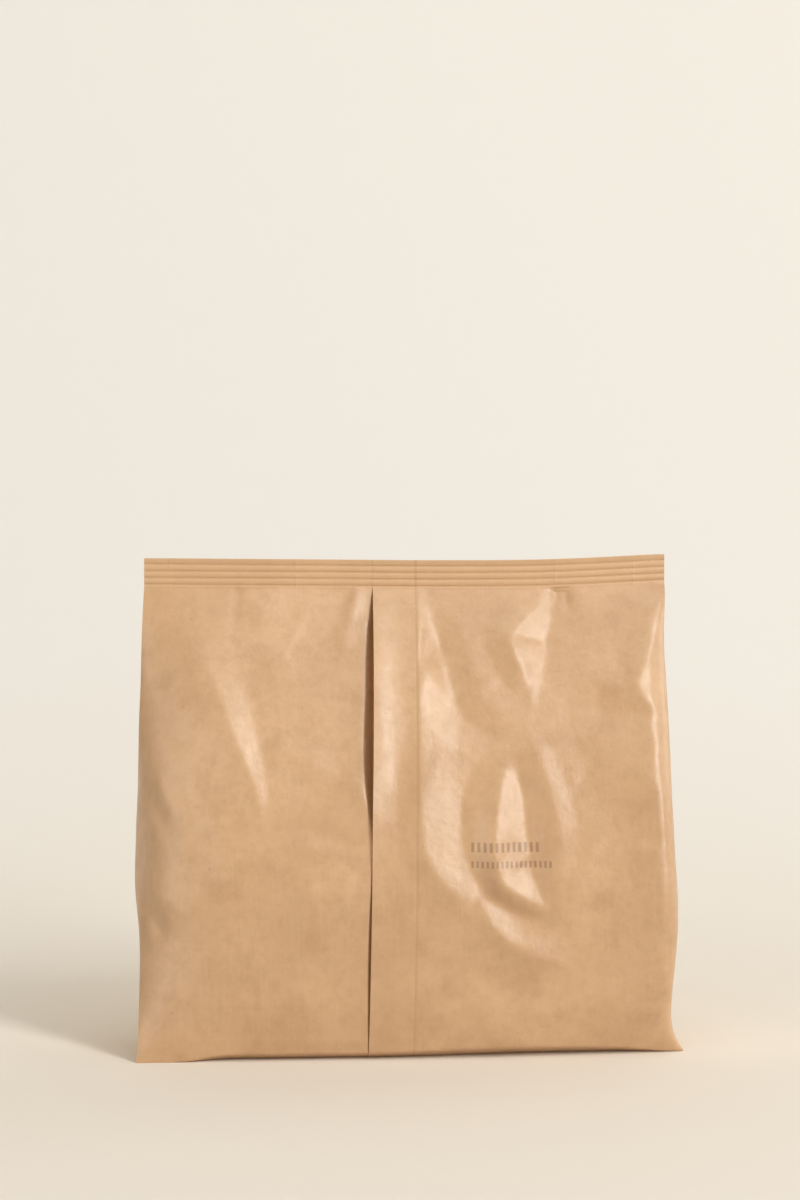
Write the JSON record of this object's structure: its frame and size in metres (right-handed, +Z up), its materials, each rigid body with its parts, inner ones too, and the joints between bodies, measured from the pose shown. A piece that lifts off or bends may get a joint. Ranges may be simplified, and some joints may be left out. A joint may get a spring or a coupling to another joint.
{
  "type": "potting soil bag",
  "caption": "Closed kraft paper bag of potting mix that stands on its base, with gusseted sides, a folded centre seam and a crimped top seal.",
  "frame": {"origin": "bottom centre of the bag's bounding box, on the surface that it stands on", "axes": "+X along the width, +Y from the face with the centre seam to the plain face, +Z up"},
  "size_m": [0.2592, 0.0864, 0.2323],
  "materials": {
    "kraft_paper": "unbleached kraft paper with a satin coated face"
  },
  "bodies": {
    "root": {"paper_bag": "kraft_paper"}
  },
  "joints": []
}
